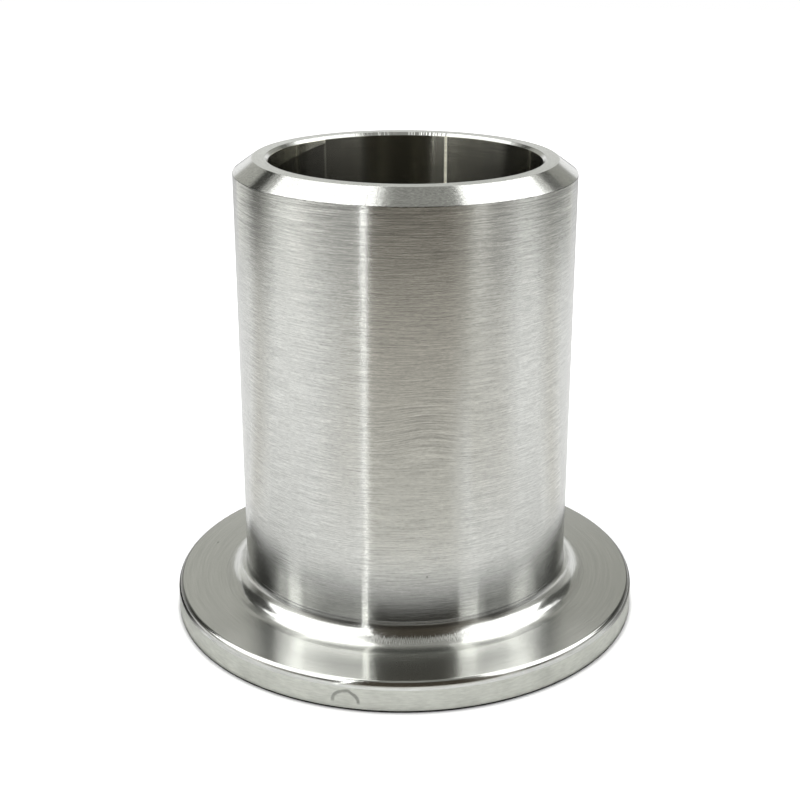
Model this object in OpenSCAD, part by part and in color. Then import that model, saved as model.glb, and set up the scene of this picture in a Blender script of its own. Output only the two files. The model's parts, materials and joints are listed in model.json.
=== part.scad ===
// Lap joint stub end: the welded half of a loose-flange pipe joint.
// It is one turned piece of stainless steel, standing on the gasket face of its lap. Its axis is Z, and
// the middle of the gasket face is the origin. The whole section is drawn once, as a half profile, and
// revolved, so the bore, the weld bevel and every round edge are true surfaces of revolution.

/* [Barrel] */
// Outside diameter of the barrel, which a loose backing flange slides over
barrel_od = 88.9; // [60:0.1:110]
// Wall thickness of the barrel
barrel_wall = 9.2; // [5:0.1:20]
// Overall length, from the gasket face to the weld end
overall_len = 125; // [50:0.5:300]

/* [Weld end] */
// Width of the flat root face between the bore's mouth and the bevel
root_face = 3.4; // [1:0.1:7]
// Angle of the weld bevel, measured from the plane across the pipe
bevel_angle = 36; // [20:0.5:60]
// Edge break at the mouth of the bore, as wide as it is deep
mouth_chamfer = 0.8; // [0.2:0.1:2]

/* [Lap] */
// Diameter of the lap
lap_d = 127; // [105:0.5:200]
// Thickness of the lap
lap_t = 8.5; // [4:0.1:25]
// Radius of the fillet where the barrel runs into the back of the lap
lap_fillet = 6; // [1:0.1:12]
// Radius on the rim's edge beside the back of the lap
rim_back_round = 1.2; // [0.3:0.1:3]
// Radius on the rim's edge beside the gasket face
rim_face_round = 0.6; // [0.2:0.1:3]
// Radius where the bore meets the gasket face
bore_face_round = 0.8; // [0.2:0.1:3]

/* [Hidden] */
$fn = 180;

// Satin stainless steel
steel = [0.76, 0.76, 0.75];

// How far a cut runs past the surface that it opens, and a fillet reaches into the metal behind it
overrun = 1;

// Radii of the barrel, the bore and the lap
barrel_r = barrel_od / 2;
bore_r = barrel_r - barrel_wall;
lap_r = lap_d / 2;

// The flat root face runs from the bore's mouth out to where the bevel starts
mouth_r = bore_r + mouth_chamfer;
root_r = mouth_r + root_face;

// The bevel takes up what the root face leaves of the wall
bevel_w = barrel_r - root_r;
bevel_h = bevel_w * tan(bevel_angle);

// The root fillet stays on the ledge between the barrel and the rounded rim
ledge_w = lap_r - barrel_r;
fillet_r = min(lap_fillet, ledge_w - rim_back_round);

// Barrel and lap in half section, with square corners
module blank_profile() {
    translate([bore_r, 0])
        square([barrel_wall, overall_len]);
    translate([bore_r, 0])
        square([lap_r - bore_r, lap_t]);
}

// Metal in the corner between barrel and lap, hollowed by the fillet's own circle
module root_fillet_profile() {
    difference() {
        translate([barrel_r - overrun, lap_t - overrun])
            square(fillet_r + overrun);
        translate([barrel_r + fillet_r, lap_t + fillet_r])
            circle(fillet_r);
    }
}

// What is turned off at the weld end: the bevel outside and the edge break inside
module weld_end_cut() {
    polygon([
        [root_r, overall_len],
        [barrel_r, overall_len - bevel_h],
        [barrel_r + overrun, overall_len - bevel_h],
        [barrel_r + overrun, overall_len + overrun],
        [root_r, overall_len + overrun]
    ]);
    polygon([
        [bore_r - overrun, overall_len - mouth_chamfer],
        [bore_r, overall_len - mouth_chamfer],
        [mouth_r, overall_len],
        [mouth_r, overall_len + overrun],
        [bore_r - overrun, overall_len + overrun]
    ]);
}

// What rounding takes off a square corner at the origin whose metal lies towards -X and -Y
module corner_cut(r) {
    difference() {
        translate([-r, -r])
            square(r + overrun);
        translate([-r, -r])
            circle(r);
    }
}

// What is rounded off the lap's three corners
module lap_edge_cuts() {
    translate([lap_r, lap_t])
        corner_cut(rim_back_round);
    translate([lap_r, 0])
        mirror([0, 1])
            corner_cut(rim_face_round);
    translate([bore_r, 0])
        rotate(180)
            corner_cut(bore_face_round);
}

module stub_profile() {
    difference() {
        union() {
            blank_profile();
            root_fillet_profile();
        }
        weld_end_cut();
        lap_edge_cuts();
    }
}

module stub_end() {
    color(steel)
        rotate_extrude()
            stub_profile();
}

stub_end();
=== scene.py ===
import json
import math

import bpy
from mathutils import Euler, Matrix, Vector


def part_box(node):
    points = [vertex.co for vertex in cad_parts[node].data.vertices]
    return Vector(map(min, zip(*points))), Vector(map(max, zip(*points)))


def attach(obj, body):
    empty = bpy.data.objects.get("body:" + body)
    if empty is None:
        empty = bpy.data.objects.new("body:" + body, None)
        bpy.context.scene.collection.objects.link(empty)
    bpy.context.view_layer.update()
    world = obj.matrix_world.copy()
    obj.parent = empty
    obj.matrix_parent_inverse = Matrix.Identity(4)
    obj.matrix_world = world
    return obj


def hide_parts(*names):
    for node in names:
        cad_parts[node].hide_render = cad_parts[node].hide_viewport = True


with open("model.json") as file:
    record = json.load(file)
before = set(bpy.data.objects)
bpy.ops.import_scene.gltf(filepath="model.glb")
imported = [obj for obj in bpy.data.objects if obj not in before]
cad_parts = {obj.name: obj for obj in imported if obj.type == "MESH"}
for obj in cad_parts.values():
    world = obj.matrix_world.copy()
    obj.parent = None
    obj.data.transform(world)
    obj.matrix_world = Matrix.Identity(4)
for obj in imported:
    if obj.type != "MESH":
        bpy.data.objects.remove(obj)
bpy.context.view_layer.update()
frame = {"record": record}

# Units: sizes are in millimetres, and the scene is in metres
MM = 0.001

# Sizes that the frame gives
mounts = {m["name"]: m for m in frame["record"]["mounts"]}
far_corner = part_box("stub_end")[1]
LENGTH = far_corner.z / MM
LAP_R = far_corner.x / MM
LAP_T = mounts["lap_back"]["pos_m"][2] / MM
BARREL_R = mounts["barrel"]["dims"]["r_mm"]
BORE_R = mounts["bore"]["dims"]["r_mm"]

# Edges of the section, as turned
ROOT_FILLET = 6.0
RIM_BACK_ROUND = 1.2
RIM_BACK_DROP = 2.2     # the polishing cloth rolls the rim's round a little further down than it reaches in
RIM_FACE_ROUND = 0.6
BORE_FACE_ROUND = 0.8
MOUTH_CHAMFER = 0.8
ROOT_FACE = 3.4
ARRIS = 0.16            # what a light stroke of a file leaves on a turned edge

# Where the fillet ends, on the lap and on the barrel, and where the weld bevel starts
FILLET_FOOT_R = BARREL_R + ROOT_FILLET
FILLET_TOP = LAP_T + ROOT_FILLET
BEVEL_FOOT = FILLET_TOP + mounts["barrel"]["dims"]["length_mm"]

# How finely the section is turned into a mesh
TURN_STEPS = 360
ARC_STEP_DEG = 6.0
EDGE_LEAD = 0.25        # a narrow loop beside each edge, which keeps the flats flat
FLAT_SPAN = 6.0


def srgb(code):
    """A hex colour as it looks on a screen, turned to linear light"""
    parts = [int(code[i:i + 2], 16) / 255 for i in (1, 3, 5)]
    return [c / 12.92 if c <= 0.04045 else ((c + 0.055) / 1.055) ** 2.4 for c in parts] + [1.0]


def direction(azimuth, elevation):
    """The way from the fitting to a place in the studio: azimuth 0 is to the camera, 90 to its right"""
    a = math.radians(azimuth)
    e = math.radians(elevation)
    return Vector((math.cos(e) * math.sin(a), -math.cos(e) * math.cos(a), math.sin(e)))


def add(tree, kind, inputs=(), **settings):
    """Adds a node with its settings and its inputs, which are named or listed in the node's own order

    An input is a plain value, a socket to link, or a node whose first output is linked."""
    made = tree.nodes.new(kind)
    for name, value in settings.items():
        setattr(made, name, value)
    if not isinstance(inputs, dict):
        inputs = dict(enumerate(inputs))
    for name, value in inputs.items():
        if isinstance(value, bpy.types.Node):
            value = value.outputs[0]
        if isinstance(value, bpy.types.NodeSocket):
            tree.links.new(value, made.inputs[name])
        else:
            made.inputs[name].default_value = value
    return made


# The section of the fitting

def flat(a, b):
    """Points along a straight stretch of the section, with a narrow span at each end"""
    run = Vector(b) - Vector(a)
    lead = min(EDGE_LEAD / run.length, 0.25)
    spans = max(1, round(run.length * (1 - 2 * lead) / FLAT_SPAN))
    shares = [0, lead] + [lead + (1 - 2 * lead) * i / spans for i in range(1, spans)] + [1 - lead, 1]
    return [tuple(Vector(a) + run * s) for s in shares]


def rounded(centre, radius, start, end, drop=None):
    """Points round an edge between two angles in degrees; a drop makes the round taller than wide"""
    steps = max(3, round(abs(end - start) / ARC_STEP_DEG))
    angles = [math.radians(start + (end - start) * i / steps) for i in range(steps + 1)]
    return [(centre[0] + radius * math.cos(a), centre[1] + (drop or radius) * math.sin(a)) for a in angles]


def broken_edge(before, corner, after):
    """The ends and the round of an arris: a corner of the section with its sharp edge taken off"""
    inward = (Vector(before) - Vector(corner)).normalized()
    onward = (Vector(after) - Vector(corner)).normalized()
    half = inward.angle(onward) / 2
    reach = ARRIS / math.tan(half)
    middle = Vector(corner) + (inward + onward).normalized() * ARRIS / math.sin(half)
    first = Vector(corner) + inward * reach
    last = Vector(corner) + onward * reach
    start = math.degrees(math.atan2(first.y - middle.y, first.x - middle.x))
    turned = 180 - math.degrees(2 * half)
    return tuple(first), rounded(middle, ARRIS, start, start + turned), tuple(last)


def section():
    """The fitting's half section, once round from the bore's foot, as (finish, points) stretches"""
    mouth = (BORE_R + MOUTH_CHAMFER, LENGTH)
    throat = (BORE_R, LENGTH - MOUTH_CHAMFER)
    root = (mouth[0] + ROOT_FACE, LENGTH)
    foot = (BARREL_R, BEVEL_FOOT)
    bore_foot = (BORE_R, BORE_FACE_ROUND)
    barrel_foot = (BARREL_R, FILLET_TOP)
    rim_centre = (LAP_R - RIM_BACK_ROUND, LAP_T - RIM_BACK_DROP)
    foot_in, foot_edge, foot_out = broken_edge(barrel_foot, foot, root)
    root_in, root_edge, root_out = broken_edge(foot, root, mouth)
    mouth_in, mouth_edge, mouth_out = broken_edge(root, mouth, throat)
    throat_in, throat_edge, throat_out = broken_edge(mouth, throat, bore_foot)
    return [
        ("gasket_face", rounded((BORE_R + BORE_FACE_ROUND, BORE_FACE_ROUND), BORE_FACE_ROUND, 180, 270)),
        ("gasket_face", flat((BORE_R + BORE_FACE_ROUND, 0), (LAP_R - RIM_FACE_ROUND, 0))),
        ("rim_foot", rounded((LAP_R - RIM_FACE_ROUND, RIM_FACE_ROUND), RIM_FACE_ROUND, -90, 0)),
        ("rim", flat((LAP_R, RIM_FACE_ROUND), (LAP_R, LAP_T - RIM_BACK_DROP))),
        ("rim_edge", rounded(rim_centre, RIM_BACK_ROUND, 0, 90, RIM_BACK_DROP)),
        ("lap_back", flat((LAP_R - RIM_BACK_ROUND, LAP_T), (FILLET_FOOT_R, LAP_T))),
        ("root_fillet", rounded((FILLET_FOOT_R, FILLET_TOP), ROOT_FILLET, 270, 180)),
        ("barrel", flat(barrel_foot, foot_in)),
        ("arris", foot_edge),
        ("bevel", flat(foot_out, root_in)),
        ("root_face", root_edge),
        ("root_face", flat(root_out, mouth_in)),
        ("mouth", mouth_edge),
        ("mouth", flat(mouth_out, throat_in)),
        ("bore", throat_edge),
        ("bore", flat(throat_out, bore_foot)),
    ]


def unroll(mesh, ring):
    """Lays the turned skin out flat for baking: once round across, and the whole section upward"""
    ends = ring + ring[:1]
    runs = [0.0]
    for a, b in zip(ends, ends[1:]):
        runs.append(runs[-1] + math.dist(a, b))
    levels = [run / runs[-1] for run in runs]
    flat_map = mesh.uv_layers.new(name="OFBake")
    places = []
    for step in range(TURN_STEPS):
        left = step / TURN_STEPS
        right = (step + 1) / TURN_STEPS
        for low, high in zip(levels, levels[1:]):
            places += [left, low, right, low, right, high, left, high]
    flat_map.data.foreach_set("uv", places)


def turn(name, stretches, finishes):
    """Turns the section once round the axis into one closed mesh, each stretch in its own finish"""
    ring, slots = [], []
    names = list(finishes)
    for finish, points in stretches:
        ring += points[:-1]
        slots += [names.index(finish)] * (len(points) - 1)
    count = len(ring)
    verts = []
    for step in range(TURN_STEPS):
        angle = 2 * math.pi * step / TURN_STEPS
        verts += [(r * math.cos(angle) * MM, r * math.sin(angle) * MM, z * MM) for r, z in ring]
    faces = []
    for step in range(TURN_STEPS):
        here = step * count
        there = (step + 1) % TURN_STEPS * count
        for i in range(count):
            k = (i + 1) % count
            faces.append((here + i, there + i, there + k, here + k))
    mesh = bpy.data.meshes.new(name)
    mesh.from_pydata(verts, [], faces)
    for material in finishes.values():
        mesh.materials.append(material)
    mesh.polygons.foreach_set("material_index", slots * TURN_STEPS)
    mesh.shade_smooth()
    mesh.validate()
    unroll(mesh, ring)
    piece = bpy.data.objects.new(name, mesh)
    bpy.context.scene.collection.objects.link(piece)
    return piece


# Finishes of stainless steel
# Belt lines and feed marks are really about 0.1 mm apart. That is finer than a pixel of the picture, so
# they are drawn 0.25 mm apart or more, and deeper than life for the same reason.
STEEL = "#CFD0CC"           # nickel-chrome steel is a grey a little warmer than white
LAP_STEEL = "#DADBD7"       # a lighter copy of the steel: painted light that brightens the lap
RIM_STEEL = "#C8CAC2"       # a little greener, and a darker copy of the steel: painted shade on the rim
ROOT_FACE_STEEL = "#E8EAE6"     # the lightest copy of the steel: painted light on the root face
BORE_STEEL = "#8F8E84"      # a darker copy of the steel: painted shade inside the bore
ACROSS_THE_LAY = 0.25       # a quarter turn, from along the tool marks to across them
SOFTLY = {"interpolation_type": "SMOOTHSTEP"}      # how one level fades into another
NOISE_LOW = 0.3             # nearly all of a noise pattern lies between these two
NOISE_HIGH = 0.7
NOISE_MIDDLE = 0.5

# The barrel
GRAIN_SHARE = 0.4           # of the belt's lines, the share that is short grain; the rest is long scratches
HAND_SWING = 2.2            # how far the lines swing up where a hand dressed them again
SCORES_START = 100.0        # heights between which the first belt's coarse scores set in
SCORES_FULL = 120.0
FOOT_SHADE_REACH = 18.0     # above the fillet's top, where the painted shade at the barrel's foot has faded out
PAINTED_SHADE_LEVEL = 0.36                 # the share of brightness left in the painted shade at the barrel's foot and the fillet's top

# The fillet
HAIR_FOOT = LAP_T + 2.5     # the hairs' band starts and ends here, less each hair's own fray
HAIR_TOP = LAP_T + 3.2
HAIR_FADE = 0.3
HAIR_FRAY = 2.4
HAIR_ROUGHNESS = 0.14
TOP_SHADE_START = LAP_T + 3.4   # the painted shade on the fillet's top sets in between these heights
TOP_SHADE_FULL = LAP_T + 4.8
LEAN_START = LAP_T + 4.1    # above this the fillet leans back a little, where it was blended by hand
LEAN_DEPTH = -0.13
CREASE_AT = FILLET_TOP - 0.5
CREASE_HALF = 0.4
CREASE_RISE = 0.03
LUMP_RISE = 0.07

# The rim's edge: where painted shade sets in round its sides and back, as seen from above, and the
# brightness it leaves
EDGE_LIT_Y = -38.0
EDGE_SHADED_Y = -27.0
EDGE_SHADE_LEVEL = 0.4

# Marks that this one fitting has, and a patch of painted light in its bore, in millimetres from the middle
# of its gasket face
HAND_DRESSED_AT = (7.3, -43.8, 66.6)
BARREL_SPECK_AT = (6.8, -43.9, 27.0)
LAP_SPECK_AT = (-55.3, 11.5, 8.6)
RING_STAIN_AT = (-12.7, -62.2, 2.0)
RING_STAIN_R = 3.3
RING_STAIN_WOBBLE = 0.7
RING_STAIN_DARK = -0.5
RIM_SMUDGES_AT = ((36.6, -51.9, 4.1), (-38.8, -50.3, 3.5))
SMUDGE_SHINE = 0.88
CHATTER_AT = (0, 36, 124.6)
CHATTER_DEPTH = 0.14
SMOOTH_DEPTH = 0.02
# A patch of painted light at the back left of the bore's mouth, edged by a sloping line
PAINTED_GLEAM_X = -23.2
PAINTED_GLEAM_DEPTH = 1.7
PAINTED_GLEAM_SLOPE = 0.3
PAINTED_GLEAM_SHINE = 2.2
PAINTED_GLEAM_EDGE = 0.2
SCRATCH_ROUGHNESS = 0.5
DRAG_ROUGHNESS = 0.35

# Marks and bands of painted light and shade that run down or inward: azimuth in degrees from the front, half
# widths in millimetres, strength
# Bars of painted reflection, lighter and darker, through the painted shade at the barrel's foot and the
# fillet's top
PAINTED_REFLECTION_BARS = ((-38.3, 0.8, 3.6, 0.38), (-22, 4.0, 8.0, -0.08), (-11.5, 0.4, 1.2, 0.6),
               (23, 2.0, 3.4, 0.3), (34, 2.5, 5.5, -0.16), (44.5, 0.5, 4.2, 0.13))
# Painted highlights on the root, on each side of the front
PAINTED_ROOT_HIGHLIGHTS = ((-19, 6.0, 13.0, 0.42), (26, 5.0, 12.0, 0.4))
HAIRS = ((4, 13.0, 19.0, 1.0),)
# Lines in the bore where the bar was drawn out: rougher, and painted lighter as highlights
DRAG_LINES_AND_PAINTED_HIGHLIGHTS = ((163.5, 0.25, 0.5, 1.8), (-138.8, 0.2, 0.45, 0.12))
# Painted light at the back of the bore, and painted shade on one side
BORE_PAINTED_LIGHT_AND_SHADE = ((180, 6.0, 18.0, 0.7), (-145, 8.0, 14.0, -0.35))
# Scratches on the bevel: rougher, and painted lighter as glints
BEVEL_SCRATCHES_AND_PAINTED_GLINTS = ((-13.2, 0.1, 0.3, 0.7), (-10.3, 0.1, 0.3, 0.6), (-7.1, 0.05, 0.25, 0.4))


def steel(name, roughness, anisotropy):
    """A stainless steel material, its nodes and its shader, which blurs across the marks left by turning"""
    material = bpy.data.materials.new(name)
    material.use_nodes = True
    tree = material.node_tree
    tree.nodes.clear()
    lay = add(tree, "ShaderNodeTangent", direction_type="RADIAL", axis="Z")
    shader = add(tree, "ShaderNodeBsdfPrincipled", {
        "Base Color": srgb(STEEL), "Metallic": 1.0, "Roughness": roughness, "Anisotropic": anisotropy,
        "Anisotropic Rotation": ACROSS_THE_LAY, "Tangent": lay})
    add(tree, "ShaderNodeOutputMaterial", {"Surface": shader})
    return material, tree, shader


def whereabouts(tree):
    """Where a point lies, in millimetres: its place, that place seen from above, its radius and height"""
    metres = add(tree, "ShaderNodeTexCoord").outputs["Object"]
    place = add(tree, "ShaderNodeVectorMath", {0: metres, "Scale": 1 / MM}, operation="SCALE")
    plan = add(tree, "ShaderNodeVectorMath", (place, (1, 1, 0)), operation="MULTIPLY")
    radius = add(tree, "ShaderNodeVectorMath", (plan,), operation="LENGTH").outputs["Value"]
    height = add(tree, "ShaderNodeSeparateXYZ", (place,)).outputs["Z"]
    return place, plan, radius, height


def tool_marks(tree, length, pitch, detail=2.0, drift=0.0):
    """Marks that run round the axis, each about so long and so far from the next, from 0 to 1"""
    place, plan, radius, height = whereabouts(tree)
    along = add(tree, "ShaderNodeMath", (radius, height), operation="SUBTRACT")
    along = add(tree, "ShaderNodeMath", (along, drift), operation="ADD")
    rows = add(tree, "ShaderNodeMath", (along, pitch), operation="DIVIDE")
    rows = add(tree, "ShaderNodeCombineXYZ", {"Z": rows})
    spread = add(tree, "ShaderNodeVectorMath", {0: plan, "Scale": 1 / length}, operation="SCALE")
    spot = add(tree, "ShaderNodeVectorMath", (spread, rows), operation="ADD")
    return add(tree, "ShaderNodeTexNoise", {"Vector": spot, "Scale": 1.0, "Detail": detail,
                                            "Roughness": 0.6})


def ticks(tree, count):
    """Marks that point at the axis, about so many to each radius length round, from 0 to 1"""
    plan = whereabouts(tree)[1]
    around = add(tree, "ShaderNodeVectorMath", (plan,), operation="NORMALIZE")
    around = add(tree, "ShaderNodeVectorMath", (around, (count, count, count), (0.4, 0.4, 0.4)),
                 operation="MULTIPLY_ADD")
    return add(tree, "ShaderNodeTexNoise", {"Vector": around, "Scale": 1.0, "Detail": 1.0})


def blotches(tree, size, detail=2.0):
    """Soft patches about so many millimetres across, from 0 to 1"""
    place = whereabouts(tree)[0]
    return add(tree, "ShaderNodeTexNoise", {"Vector": place, "Scale": 1 / size, "Detail": detail})


def near(tree, centre, reach, edge=0.0):
    """1 at a point of the fitting, falling to 0 at a reach in millimetres"""
    place = whereabouts(tree)[0]
    gap = add(tree, "ShaderNodeVectorMath", (place, centre), operation="DISTANCE").outputs["Value"]
    return add(tree, "ShaderNodeMapRange", (gap, edge, reach, 1.0, 0.0), **SOFTLY)


def speck(tree, centre, reach, shine):
    """A dark speck at a point of the fitting, which leaves a share of the shine"""
    return add(tree, "ShaderNodeMapRange", (near(tree, centre, reach), 0.3, 0.7, 1.0, shine), **SOFTLY)


def shade(tree, shader, *factors, tone=STEEL):
    """Sets the steel's colour as its tone, dimmed or brightened by each factor in turn"""
    colour = srgb(tone)[:3]
    for factor in factors:
        colour = add(tree, "ShaderNodeVectorMath", {0: colour, "Scale": factor}, operation="SCALE")
    tree.links.new(colour.outputs[0], shader.inputs["Base Color"])


def cut(tree, shader, height, depth):
    """Cuts the marks into the surface, so many millimetres deep"""
    grooves = add(tree, "ShaderNodeBump", {"Height": height, "Distance": depth * MM, "Strength": 1.0})
    tree.links.new(grooves.outputs[0], shader.inputs["Normal"])


def streaks(tree, marks, contrast):
    """Tool marks as lighter and darker steel"""
    return add(tree, "ShaderNodeMapRange", (marks, NOISE_LOW, NOISE_HIGH, 1 - contrast, 1 + contrast))


def streaks_where(tree, marks, where, strength):
    """Tool marks as lighter and darker steel, only where they are let show"""
    swing = add(tree, "ShaderNodeMath", (marks, NOISE_MIDDLE), operation="SUBTRACT")
    swing = add(tree, "ShaderNodeMath", (swing, where), operation="MULTIPLY")
    return add(tree, "ShaderNodeMath", (swing, strength, 1.0), operation="MULTIPLY_ADD")


def lines_down(tree, marks):
    """Narrow marks, or bands of painted light and shade, that run straight down or inward, added up

    Each is (azimuth in degrees, half width of the core in mm, half width with its soft edge, strength)."""
    place, plan, radius, height = whereabouts(tree)
    around = add(tree, "ShaderNodeVectorMath", (plan,), operation="NORMALIZE")
    total = 0.0
    for azimuth, core, edge, strength in marks:
        gap = add(tree, "ShaderNodeVectorMath", (around, direction(azimuth, 0)), operation="DISTANCE")
        gap = add(tree, "ShaderNodeMath", (gap.outputs["Value"], radius), operation="MULTIPLY")
        mark = add(tree, "ShaderNodeMapRange", (gap, core, edge, strength, 0.0), **SOFTLY)
        total = add(tree, "ShaderNodeMath", (mark, total), operation="ADD")
    return total


def painted_shade_and_bars(tree):
    """Painted shade for the barrel's foot and the fillet's top, crossed by narrow bars of painted
    reflection, lighter and darker
    """
    return add(tree, "ShaderNodeMath", (lines_down(tree, PAINTED_REFLECTION_BARS), PAINTED_SHADE_LEVEL), operation="ADD")


def painted_root_highlights(tree, where):
    """How much brighter the root is painted on each side of the front: painted highlights"""
    sectors = lines_down(tree, PAINTED_ROOT_HIGHLIGHTS)
    return add(tree, "ShaderNodeMath", (sectors, where, 1.0), operation="MULTIPLY_ADD")


def brushed_barrel():
    """Pipe dressed with a fine belt while it turned: short level lines that break up every reflection

    A patch in front was dressed again by hand, and near the weld end the first belt's scores still show."""
    material, tree, shader = steel("belt_brushed_barrel_stainless", roughness=0.2, anisotropy=0.8)
    height = whereabouts(tree)[3]
    patch = near(tree, HAND_DRESSED_AT, reach=15)
    sway = blotches(tree, size=40)
    drift = add(tree, "ShaderNodeMath", (patch, HAND_SWING, sway), operation="MULTIPLY_ADD")
    grain = tool_marks(tree, length=1.2, pitch=0.25, detail=1.0, drift=drift)
    scratches = tool_marks(tree, length=7, pitch=0.28, drift=drift)
    lines = add(tree, "ShaderNodeMath", (grain, GRAIN_SHARE), operation="MULTIPLY")
    lines = add(tree, "ShaderNodeMath", (scratches, 1 - GRAIN_SHARE, lines), operation="MULTIPLY_ADD")
    ripples = tool_marks(tree, length=14, pitch=0.5, detail=1.0, drift=drift)
    ripples = streaks_where(tree, ripples, patch, strength=1.1)
    scored = add(tree, "ShaderNodeMapRange", (height, SCORES_START, SCORES_FULL, 0.0, 1.0), **SOFTLY)
    scores = tool_marks(tree, length=16, pitch=0.35, drift=5.0)
    scores = streaks_where(tree, scores, scored, strength=1.1)
    # Painted shade at the barrel's foot, crossed by bars of painted reflection
    painted_foot_shade = add(tree, "ShaderNodeMapRange", (
        height, FILLET_TOP + 1, FILLET_TOP + FOOT_SHADE_REACH, painted_shade_and_bars(tree), 1.0), **SOFTLY)
    shade(tree, shader, streaks(tree, lines, contrast=0.26), ripples, scores, painted_foot_shade,
          speck(tree, BARREL_SPECK_AT, reach=0.45, shine=0.4))
    cut(tree, shader, lines, depth=0.025)
    return material


def polished_fillet():
    """A root polished by hand: near a mirror but uneven, with cloth hairs in front and a crease above"""
    material, tree, shader = steel("polished_fillet_stainless", roughness=0.19, anisotropy=0.3)
    place, plan, radius, height = whereabouts(tree)
    lines = tool_marks(tree, length=10, pitch=0.5)
    lumps = blotches(tree, size=6, detail=1.0)
    frayed = add(tree, "ShaderNodeMath", (ticks(tree, count=380), HAIR_FRAY, height),
                 operation="MULTIPLY_ADD")
    band = lines_down(tree, HAIRS)
    band = add(tree, "ShaderNodeMapRange", (frayed, HAIR_FOOT, HAIR_FOOT + HAIR_FADE, 0.0, band), **SOFTLY)
    band = add(tree, "ShaderNodeMapRange", (frayed, HAIR_TOP, HAIR_TOP + HAIR_FADE, band, 0.0), **SOFTLY)
    blend = add(tree, "ShaderNodeMapRange", (radius, FILLET_FOOT_R - 3, FILLET_FOOT_R, 0.17, 0.25), **SOFTLY)
    rough = add(tree, "ShaderNodeMath", (band, HAIR_ROUGHNESS, blend), operation="MULTIPLY_ADD")
    tree.links.new(rough.outputs[0], shader.inputs["Roughness"])
    # Painted shade on the fillet's top, crossed by bars of painted reflection
    painted_top_shade = add(tree, "ShaderNodeMapRange", (height, TOP_SHADE_START, TOP_SHADE_FULL, 1.0, painted_shade_and_bars(tree)),
                   **SOFTLY)
    low_down = add(tree, "ShaderNodeMapRange", (height, LAP_T + 0.4, LAP_T + 1.8, 1.0, 0.0), **SOFTLY)
    # The fillet's colour, with painted shade on its top and painted highlights low on it
    shade(tree, shader, streaks(tree, lines, contrast=0.08), painted_top_shade, painted_root_highlights(tree, low_down))
    lean = add(tree, "ShaderNodeMapRange", (height, LEAN_START, FILLET_TOP, 0.0, LEAN_DEPTH))
    off = add(tree, "ShaderNodeMath", (height, CREASE_AT), operation="SUBTRACT")
    off = add(tree, "ShaderNodeMath", (off,), operation="ABSOLUTE")
    crease = add(tree, "ShaderNodeMapRange", (off, 0.0, CREASE_HALF, CREASE_RISE, 0.0), **SOFTLY)
    rise = add(tree, "ShaderNodeMath", (lumps, LUMP_RISE, lean), operation="MULTIPLY_ADD")
    rise = add(tree, "ShaderNodeMath", (rise, crease), operation="ADD")
    cut(tree, shader, rise, depth=1.0)
    return material


def polished_edge():
    """A rim's edge rolled over with a cloth, and darkened with painted shade round its sides and back"""
    material, tree, shader = steel("polished_rim_edge_stainless", roughness=0.13, anisotropy=0.3)
    lines = tool_marks(tree, length=5, pitch=0.3)
    back = add(tree, "ShaderNodeSeparateXYZ", (whereabouts(tree)[1],)).outputs["Y"]
    # Painted shade that darkens the edge round its sides and back
    shine = add(tree, "ShaderNodeMapRange", (back, EDGE_LIT_Y, EDGE_SHADED_Y, 1.0, EDGE_SHADE_LEVEL), **SOFTLY)
    shade(tree, shader, streaks(tree, lines, contrast=0.15), shine)
    cut(tree, shader, lines, depth=0.004)
    return material


def painted_shadow_edge():
    """The lower edge, darkened almost to black as a painted contact shadow"""
    material, tree, shader = steel("oil_darkened_edge_stainless", roughness=0.35, anisotropy=0.3)
    shadow_mottle = blotches(tree, size=2)
    # Painted contact shadow, mottled
    shade(tree, shader, add(tree, "ShaderNodeMapRange", (shadow_mottle, 0.35, 0.65, 0.03, 0.1), **SOFTLY))
    return material


def faced_lap():
    """A lap faced with a fine feed: rings a hair apart, which draw each light out into a fan"""
    material, tree, shader = steel("faced_lap_stainless", roughness=0.2, anisotropy=1.0)
    radius = whereabouts(tree)[2]
    rings = tool_marks(tree, length=16, pitch=0.3)
    by_root = add(tree, "ShaderNodeMapRange", (radius, FILLET_FOOT_R + 0.5, FILLET_FOOT_R + 7, 1.0, 0.0),
                  **SOFTLY)
    # Painted highlights on the lap near the root
    shade(tree, shader, streaks(tree, rings, contrast=0.055),
          speck(tree, LAP_SPECK_AT, reach=0.6, shine=0.35), painted_root_highlights(tree, by_root), tone=LAP_STEEL)
    cut(tree, shader, rings, depth=0.006)
    return material


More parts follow.
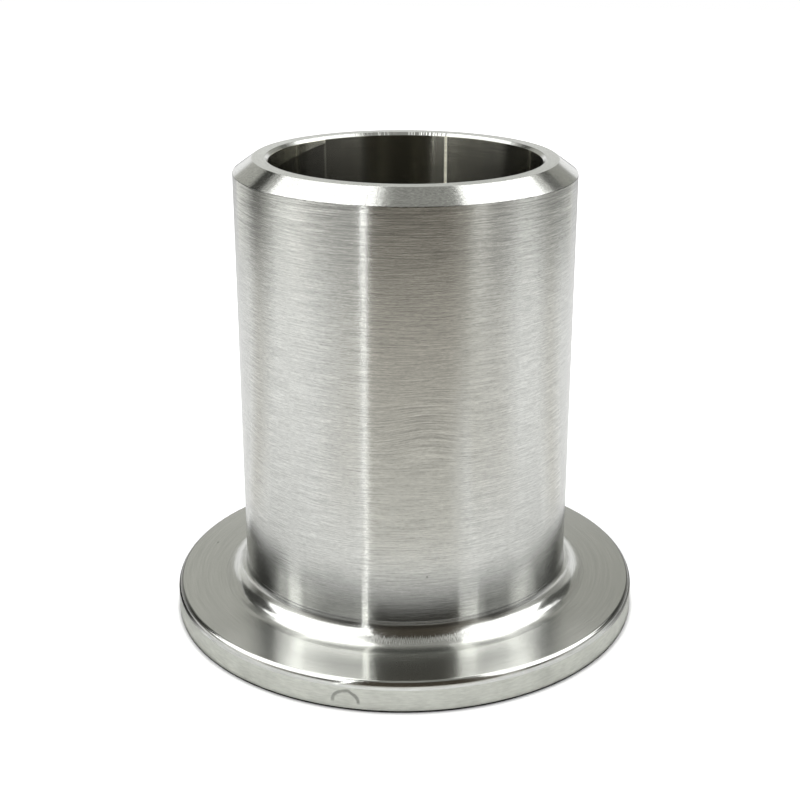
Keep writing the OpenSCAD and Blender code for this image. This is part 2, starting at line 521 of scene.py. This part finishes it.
def satin_rim():
    """A rim left as fine turned and then rubbed: satin, with a ring where something wet once stood on it"""
    material, tree, shader = steel("satin_rim_stainless", roughness=0.36, anisotropy=0.3)
    place, plan, radius, height = whereabouts(tree)
    grain = tool_marks(tree, length=2.5, pitch=0.5)
    clouds = blotches(tree, size=7)
    gap = add(tree, "ShaderNodeVectorMath", (place, RING_STAIN_AT), operation="DISTANCE")
    gap = add(tree, "ShaderNodeMath", (blotches(tree, size=1.5), RING_STAIN_WOBBLE, gap.outputs["Value"]),
              operation="MULTIPLY_ADD")
    off = add(tree, "ShaderNodeMath", (gap, RING_STAIN_R + RING_STAIN_WOBBLE / 2), operation="SUBTRACT")
    off = add(tree, "ShaderNodeMath", (off,), operation="ABSOLUTE")
    ring = add(tree, "ShaderNodeMapRange", (off, 0.2, 0.6, 1.0, 0.0), **SOFTLY)
    ring = add(tree, "ShaderNodeMapRange", (height, 1.6, 2.6, 0.0, ring), **SOFTLY)
    broken = add(tree, "ShaderNodeMapRange", (clouds, 0.3, 0.5, 0.4, 1.0), **SOFTLY)
    ring = add(tree, "ShaderNodeMath", (ring, broken), operation="MULTIPLY")
    stain = add(tree, "ShaderNodeMath", (ring, RING_STAIN_DARK, 1.0), operation="MULTIPLY_ADD")
    smudges = []
    for spot in RIM_SMUDGES_AT:
        thumbed = near(tree, spot, reach=4.5)
        smudges.append(add(tree, "ShaderNodeMapRange", (thumbed, 0.0, 1.0, 1.0, SMUDGE_SHINE), **SOFTLY))
    shade(tree, shader, streaks(tree, grain, contrast=0.09), streaks(tree, clouds, contrast=0.06), stain,
          *smudges, tone=RIM_STEEL)
    cut(tree, shader, grain, depth=0.003)
    return material


def turned_bevel():
    """A weld bevel cut with a sharp tool: bright and grainy with feed marks, with a few scratches that are
    rougher and painted lighter as glints
    """
    roughness = 0.18
    material, tree, shader = steel("turned_bevel_stainless", roughness, anisotropy=0.9)
    fine = tool_marks(tree, length=0.8, pitch=0.3)
    scratches = lines_down(tree, BEVEL_SCRATCHES_AND_PAINTED_GLINTS)
    # Painted glints along the scratches
    shine = add(tree, "ShaderNodeMath", (scratches, 1.0), operation="ADD")
    rough = add(tree, "ShaderNodeMath", (scratches, SCRATCH_ROUGHNESS, roughness), operation="MULTIPLY_ADD")
    tree.links.new(rough.outputs[0], shader.inputs["Roughness"])
    shade(tree, shader, streaks(tree, fine, contrast=0.22), shine)
    cut(tree, shader, fine, depth=0.01)
    return material


def filed_arris():
    """The sharp edge under the bevel, broken with a file and darkened as painted shade"""
    material, tree, shader = steel("filed_arris_stainless", roughness=0.3, anisotropy=0.5)
    shade_flecks = tool_marks(tree, length=1.2, pitch=0.4)
    # Painted shade, in uneven flecks
    shade(tree, shader, add(tree, "ShaderNodeMapRange", (shade_flecks, 0.45, 0.7, 0.12, 0.6), **SOFTLY))
    return material


def turned_root_face():
    """A root face turned square to the pipe: an even satin grey with faint rings"""
    material, tree, shader = steel("turned_root_face_stainless", roughness=0.22, anisotropy=0.5)
    fine = tool_marks(tree, length=4, pitch=0.3)
    shade(tree, shader, streaks(tree, fine, contrast=0.1), tone=ROOT_FACE_STEEL)
    cut(tree, shader, fine, depth=0.003)
    return material


def chattered_mouth():
    """The bore's edge break: smooth, with bright facets at the back where the tool chattered"""
    material, tree, shader = steel("chattered_mouth_stainless", roughness=0.16, anisotropy=0.3)
    facets = ticks(tree, count=80)
    chatter = near(tree, CHATTER_AT, reach=13, edge=8)
    depth = add(tree, "ShaderNodeMapRange", (chatter, 0.0, 1.0, SMOOTH_DEPTH, CHATTER_DEPTH), **SOFTLY)
    rise = add(tree, "ShaderNodeMath", (facets, depth), operation="MULTIPLY")
    shade(tree, shader, streaks(tree, facets, contrast=0.1))
    cut(tree, shader, rise, depth=1.0)
    return material


def bored_inside():
    """A bore as the boring bar left it: dark with painted shade, with level feed marks, and lines where the
    bar was drawn out

    Its drawn lines are also painted lighter as highlights, painted light and shade lie round its back, and a
    patch of painted light lies at the back left of its mouth."""
    roughness = 0.175
    material, tree, shader = steel("bored_stainless", roughness, anisotropy=1.0)
    place, plan, radius, height = whereabouts(tree)
    fine = tool_marks(tree, length=9, pitch=0.4)
    strokes = ticks(tree, count=7)
    # Lines where the bar was drawn out: rougher, and painted lighter as highlights
    drags_and_highlights = lines_down(tree, DRAG_LINES_AND_PAINTED_HIGHLIGHTS)
    rough = add(tree, "ShaderNodeMath", (drags_and_highlights, DRAG_ROUGHNESS, roughness), operation="MULTIPLY_ADD")
    tree.links.new(rough.outputs[0], shader.inputs["Roughness"])
    across, back = add(tree, "ShaderNodeSeparateXYZ", (plan,)).outputs[:2]
    slope = add(tree, "ShaderNodeMath", (across, -PAINTED_GLEAM_SLOPE, height), operation="MULTIPLY_ADD")
    start = LENGTH - PAINTED_GLEAM_DEPTH - PAINTED_GLEAM_SLOPE * PAINTED_GLEAM_X
    # Painted light near the mouth, at the back left of the bore
    painted_gleam = add(tree, "ShaderNodeMapRange", (
        slope, start - PAINTED_GLEAM_EDGE, start + PAINTED_GLEAM_EDGE, 0.0, PAINTED_GLEAM_SHINE), **SOFTLY)
    painted_gleam = add(tree, "ShaderNodeMapRange", (
        across, PAINTED_GLEAM_X - PAINTED_GLEAM_EDGE, PAINTED_GLEAM_X + PAINTED_GLEAM_EDGE, painted_gleam, 0.0), **SOFTLY)
    painted_gleam = add(tree, "ShaderNodeMapRange", (back, 0, 4, 0.0, painted_gleam), **SOFTLY)
    shine = add(tree, "ShaderNodeMath", (drags_and_highlights, painted_gleam), operation="ADD")
    # Painted light and shade round the back of the bore
    shine = add(tree, "ShaderNodeMath", (shine, lines_down(tree, BORE_PAINTED_LIGHT_AND_SHADE)), operation="ADD")
    shine = add(tree, "ShaderNodeMath", (shine, 1.0), operation="ADD")
    shade(tree, shader, streaks(tree, fine, contrast=0.14), streaks(tree, strokes, contrast=0.14), shine,
          tone=BORE_STEEL)
    cut(tree, shader, fine, depth=0.006)
    return material


def serrated_gasket_face():
    """A sealing face left with the concentric grooves that grip a gasket: dull, and ringed all over"""
    material, tree, shader = steel("grooved_gasket_face_stainless", roughness=0.3, anisotropy=0.6)
    rings = tool_marks(tree, length=60, pitch=0.8)
    shade(tree, shader, streaks(tree, rings, contrast=0.15))
    cut(tree, shader, rings, depth=0.03)
    return material


finishes = {
    "gasket_face": serrated_gasket_face(),
    "rim": satin_rim(),
    "rim_edge": polished_edge(),
    "rim_foot": painted_shadow_edge(),
    "lap_back": faced_lap(),
    "root_fillet": polished_fillet(),
    "barrel": brushed_barrel(),
    "arris": filed_arris(),
    "bevel": turned_bevel(),
    "root_face": turned_root_face(),
    "mouth": chattered_mouth(),
    "bore": bored_inside(),
}

stub_end = turn("turned_stub_end", section(), finishes)
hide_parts("stub_end")
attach(stub_end, "root")


# Studio, in metres and degrees
CARD_STEP_DEG = 5.0
CARD_LIFT = 0.001           # cards that lie on the table are lifted just clear of it
TABLE_EDGE = 0.45           # radius of the ring of cards that stand round the table
FLAG_R = 0.5                # radius of the flags and fill cards behind that ring
FRAME_R = 0.49              # the lamps' frames stand a little in front of the flags
BACKDROP_R = 0.9
CEILING = 1.6
STUDIO_CENTRE = Vector((0, 0, 0.04))
LAMP_DISTANCE = 0.7
LAMP_TONE = 1.65
GAP_BAR_NEAR_END = 0.1      # inside this radius the bar of light on the table is turned to aim off the axis
GAP_BAR_TURN_DEG = 6.9


def even(start, end, tone):
    """One tone from one azimuth to another"""
    return [(start, tone), (end, tone)]


def studio_card(name, tones, lower, upper, strength=1.0):
    """A card bent round the fitting between two edges as (radius, height), and seen only in the metal

    Its tones are given as (azimuth, tone), and it shades softly from each to the next."""
    verts, faces, glow = [], [], []
    for (start, first), (end, last) in zip(tones, tones[1:]):
        columns = max(1, round((end - start) / CARD_STEP_DEG))
        for i in range(columns + 1):
            share = i / columns
            way = direction(start + (end - start) * share, 0)
            verts.append(way * lower[0] + Vector((0, 0, lower[1])))
            verts.append(way * upper[0] + Vector((0, 0, upper[1])))
            glow += [p + (q - p) * share for p, q in zip(srgb(first), srgb(last))] * 2
            if i:
                k = len(verts)
                faces.append((k - 4, k - 2, k - 1, k - 3))
    mesh = bpy.data.meshes.new(name)
    mesh.from_pydata(verts, [], faces)
    mesh.attributes.new("tone", "FLOAT_COLOR", "POINT").data.foreach_set("color", glow)
    material = bpy.data.materials.new(name)
    material.use_nodes = True
    tree = material.node_tree
    tree.nodes.clear()
    tone = add(tree, "ShaderNodeAttribute", attribute_name="tone").outputs["Color"]
    face = add(tree, "ShaderNodeEmission", {"Color": tone, "Strength": strength})
    add(tree, "ShaderNodeOutputMaterial", {"Surface": face})
    mesh.materials.append(material)
    card = bpy.data.objects.new(name, mesh)
    bpy.context.scene.collection.objects.link(card)
    card.visible_camera = card.visible_diffuse = card.visible_shadow = False
    return card


def standing_card(name, tones, radius, foot, top, strength=1.0):
    """A card that stands upright round the fitting, between two heights"""
    return studio_card(name, tones, (radius, foot), (radius, top), strength)


def table_card(name, tones, inner, outer, lift=CARD_LIFT, strength=1.0):
    """A card that lies on the table, between two radii"""
    return studio_card(name, tones, (inner, lift), (outer, lift), strength)


def gap_light_on_table():
    """Where the gap's light falls on the table: a straight bar that aims a little off the axis"""
    bar = table_card("gap_light_on_table", even(-24.6, -23.6, "#FFFFFF"), 0.08, 0.44, 2 * CARD_LIFT, 2.5)
    for corner in bar.data.vertices:
        if corner.co.xy.length < GAP_BAR_NEAR_END:
            corner.co.rotate(Euler((0, 0, math.radians(GAP_BAR_TURN_DEG))))


def softbox(name, azimuth, elevation, across, upward, radiance):
    """A flat lamp square to a line from the fitting; its edges are measured from that line, in metres"""
    away = direction(azimuth, elevation)
    side = direction(azimuth + 90, 0)
    rise = away.cross(side)
    lamp = bpy.data.lights.new(name, "AREA")
    lamp.shape = "RECTANGLE"
    lamp.size = across[1] - across[0]
    lamp.size_y = upward[1] - upward[0]
    lamp.energy = radiance * math.pi * lamp.size * lamp.size_y
    box = bpy.data.objects.new(name, lamp)
    box.location = STUDIO_CENTRE + away * LAMP_DISTANCE + side * sum(across) / 2 + rise * sum(upward) / 2
    box.rotation_euler = Matrix((side, rise, away)).transposed().to_euler()
    box.visible_camera = False
    bpy.context.scene.collection.objects.link(box)


softbox("left_softbox", -110, 45, (-0.18, 0.98), (-0.50, 0.52), LAMP_TONE)
softbox("right_softbox", 114, 45, (-1.19, 0.24), (-0.43, 0.365), LAMP_TONE)

# The camera's side of the table is in shade, and a gap in it lets a narrow bar of light through
standing_card("camera_side", [(-21.9, "#4A443B"), (28, "#4A443B"), (38, "#7C7870"), (41, "#8A867E")],
              TABLE_EDGE, 0, 0.50)
standing_card("camera_side_high", even(-32, 42, "#90908C"), TABLE_EDGE, 0.50, 1.2)
table_card("table_under_camera", even(-21.9, 41, "#C4BEB4"), 0.36, TABLE_EDGE)
table_card("table_by_camera", [(-21.9, "#CEC8BE"), (30, "#CEC8BE"), (41, "#DAD8D2")], 0.305, 0.36)
table_card("table_midway", [(-21.9, "#CCC8C0"), (30, "#CCC8C0"), (41, "#DCDAD4")], 0.20, 0.305)
table_card("table_near", [(-21.9, "#DEDCD6"), (26, "#DEDCD6"), (40, "#FFFFFF")], 0.10, 0.20)
standing_card("gap_light_low", even(-25.0, -24.1, "#FFFFFF"), 0.445, 0, 0.08, strength=5.0)
standing_card("gap_light", even(-23.6, -22.5, "#FFFFFF"), TABLE_EDGE, 0.08, 0.45, strength=9.0)
gap_light_on_table()
table_card("contact_shade", even(-180, 180, "#151513"), 0.0634, 0.0642, lift=0.0002)

# Fainter shades on the rest of the table
table_card("table_left_rear", [(-122, "#FFFFFF"), (-108, "#E6E4E0"), (-90, "#FFFFFF")], 0.10, TABLE_EDGE)
table_card("table_front_left", [(-56, "#FFFFFF"), (-36, "#ECEAE6"), (-24.3, "#ECEAE6")], 0.14, TABLE_EDGE)
table_card("table_front_right", [(41, "#E2E0DA"), (54, "#E4E2DE"), (62, "#E8E6E2"), (76, "#FFFFFF")],
           0.14, TABLE_EDGE)
table_card("table_right_rear", [(94, "#FFFFFF"), (108, "#ECEAE6"), (124, "#FFFFFF")], 0.10, TABLE_EDGE)

# Where the lap keeps the light off the table on each side
table_card("left_floor_shade", [
    (-118, "#FFFFFF"), (-108, "#242420"), (-84, "#242420"), (-74, "#60605C"), (-60, "#FFFFFF")],
    0.0675, 0.083, lift=0.0012)
table_card("right_floor_shade", [
    (66, "#FFFFFF"), (80, "#B8B8B4"), (90, "#94948E"), (100, "#44443E"), (132, "#44443E"),
    (146, "#FFFFFF")], 0.0675, 0.081, lift=0.0012)

# Fill cards that brighten what the lap and the barrel's foot show of each other
standing_card("left_fill", even(-57, -26, "#FFFFFF"), FLAG_R, 0.13, 0.5, strength=2.0)
standing_card("right_fill", even(44, 62, "#FFFFFF"), FLAG_R, 0.14, 0.5, strength=2.0)

# Low cards round the table's edge, where the lamps' stands and their gleams are
standing_card("left_edge", [
    (-140, "#F4F4F0"), (-122, "#CCCCC8"), (-110, "#585854"), (-104, "#585854"), (-96, "#90908A"),
    (-86, "#D8D8D4"), (-74, "#F0F0EC"), (-66, "#E8E6E2"), (-58, "#B8B6B0"), (-48, "#96948E"),
    (-36, "#6A6A66"), (-24.3, "#6E6C68")], TABLE_EDGE, 0, 0.12)
standing_card("right_edge", [
    (41, "#7C7870"), (46, "#BEBCB6"), (51, "#BEBCB6"), (57, "#6C6A64"), (63, "#706E68"),
    (72, "#A8A6A2"), (80, "#C8C8C4"), (88, "#C0C0BC"), (98, "#A0A09C"), (110, "#90908C"),
    (120, "#A0A09C"), (140, "#DCDCD8")], TABLE_EDGE, 0, 0.13)

# Tall cards behind, and the dark frames under both lamps
standing_card("left_rear_flag", [(-132, "#3A3A36"), (-104, "#2A2A26"), (-98, "#70706C")],
              FLAG_R, 0.11, 0.38)
standing_card("left_lamp_frame", even(-152, -118, "#3C3C38"), FRAME_R, 0.37, 0.45)
standing_card("left_lamp_frame_edge", even(-152, -118, "#BABAB6"), FLAG_R, 0.45, 0.52)
standing_card("right_rear_flag", [(102, "#80807A"), (110, "#4A4A46"), (140, "#4A4A46")],
              FLAG_R, 0.11, 0.34)
standing_card("right_lamp_frame", even(128, 154, "#62625E"), FRAME_R, 0.35, 0.43)
standing_card("right_lamp_frame_edge", even(128, 154, "#D0D0CC"), FLAG_R, 0.43, 0.50)
standing_card("backdrop_high", [(140, "#A4A49E"), (165, "#A6A6A0"), (195, "#B8B8B2"), (225, "#B8B8B2")],
              BACKDROP_R, 0.28, 1.5)
table_card("ceiling", even(-180, 180, "#A0A09C"), 0.0, CEILING, lift=CEILING)

# The floor's own glow, which makes it white to the camera without more light on the fitting
FLOOR_HALF = 2.0
FLOOR_LIFT = 0.4
FLOOR_LIFT_IN_METAL = 0.06
LIFT_NEAR = 130             # radii in millimetres between which the glow grows to plain white
LIFT_FAR = 320
SHADOW_EDGE = 1.2           # round the lap's foot, where the floor keeps its contact shadow
SKY_FILL = 0.25


def pale_floor():
    """A white table, which shows as the plain white background and keeps the fitting's shadow"""
    half = FLOOR_HALF
    mesh = bpy.data.meshes.new("pale_floor")
    corners = [(-half, -half, 0), (half, -half, 0), (half, half, 0), (-half, half, 0)]
    mesh.from_pydata(corners, [], [(0, 1, 2, 3)])
    material = bpy.data.materials.new("white_table_paper")
    material.use_nodes = True
    tree = material.node_tree
    tree.nodes.clear()
    paper = add(tree, "ShaderNodeBsdfDiffuse", {"Color": srgb("#F4F4F4")})
    radius = whereabouts(tree)[2]
    path = add(tree, "ShaderNodeLightPath").outputs
    in_metal = add(tree, "ShaderNodeMath", (path["Is Glossy Ray"], path["Is Transmission Ray"]),
                   operation="MAXIMUM")
    in_metal = add(tree, "ShaderNodeMath", (in_metal, FLOOR_LIFT_IN_METAL), operation="MULTIPLY")
    far_off = add(tree, "ShaderNodeMapRange", (radius, LIFT_NEAR, LIFT_FAR, FLOOR_LIFT, 1.0), **SOFTLY)
    far_off = add(tree, "ShaderNodeMapRange", (radius, LAP_R, LAP_R + SHADOW_EDGE, 0.0, far_off), **SOFTLY)
    lift = add(tree, "ShaderNodeMath", (path["Is Camera Ray"], far_off, in_metal), operation="MULTIPLY_ADD")
    glow = add(tree, "ShaderNodeEmission", {"Strength": lift})
    both = add(tree, "ShaderNodeAddShader", (paper, glow))
    add(tree, "ShaderNodeOutputMaterial", {"Surface": both})
    mesh.materials.append(material)
    floor = bpy.data.objects.new("pale_floor", mesh)
    bpy.context.scene.collection.objects.link(floor)


def white_world():
    """White all round for the camera and for reflections, and a soft fill for the floor"""
    world = bpy.data.worlds.new("studio")
    bpy.context.scene.world = world
    world.use_nodes = True
    tree = world.node_tree
    tree.nodes.clear()
    path = add(tree, "ShaderNodeLightPath").outputs
    seen = add(tree, "ShaderNodeMath", (path["Is Camera Ray"], path["Is Glossy Ray"]), operation="MAXIMUM")
    seen = add(tree, "ShaderNodeMath", (seen, path["Is Transmission Ray"]), operation="MAXIMUM")
    level = add(tree, "ShaderNodeMapRange", {"Value": seen, "To Min": SKY_FILL, "To Max": 1.0})
    sky = add(tree, "ShaderNodeBackground", {"Color": srgb("#FFFFFF"), "Strength": level})
    add(tree, "ShaderNodeOutputWorld", {"Surface": sky})


pale_floor()
white_world()

# Camera: its place in millimetres, its angles in radians, and its lens in pixels of the square picture
IMAGE_PX = 800
SENSOR = 36.0
FOCAL_PX = 1396.6
CENTRE_PX = (450, 370)
CAMERA_AT = (11.95, -357.5, 191.1)
PITCH_DOWN = 0.3349
ROLL = 0.0115


def photo_camera():
    """Stands the camera where the photo was taken from, with the picture cropped as the photo is"""
    lens = bpy.data.cameras.new("camera")
    lens.sensor_width = SENSOR
    lens.lens = FOCAL_PX / IMAGE_PX * SENSOR
    lens.shift_x = (IMAGE_PX / 2 - CENTRE_PX[0]) / IMAGE_PX
    lens.shift_y = (CENTRE_PX[1] - IMAGE_PX / 2) / IMAGE_PX
    lens.clip_start = 0.01
    camera = bpy.data.objects.new("camera", lens)
    camera.location = Vector(CAMERA_AT) * MM
    aim = Euler((math.pi / 2 - PITCH_DOWN, 0, 0)).to_matrix() @ Matrix.Rotation(ROLL, 3, "Z")
    camera.rotation_euler = aim.to_euler()
    bpy.context.scene.collection.objects.link(camera)
    bpy.context.scene.camera = camera


photo_camera()
bpy.context.scene.view_settings.view_transform = "Standard"
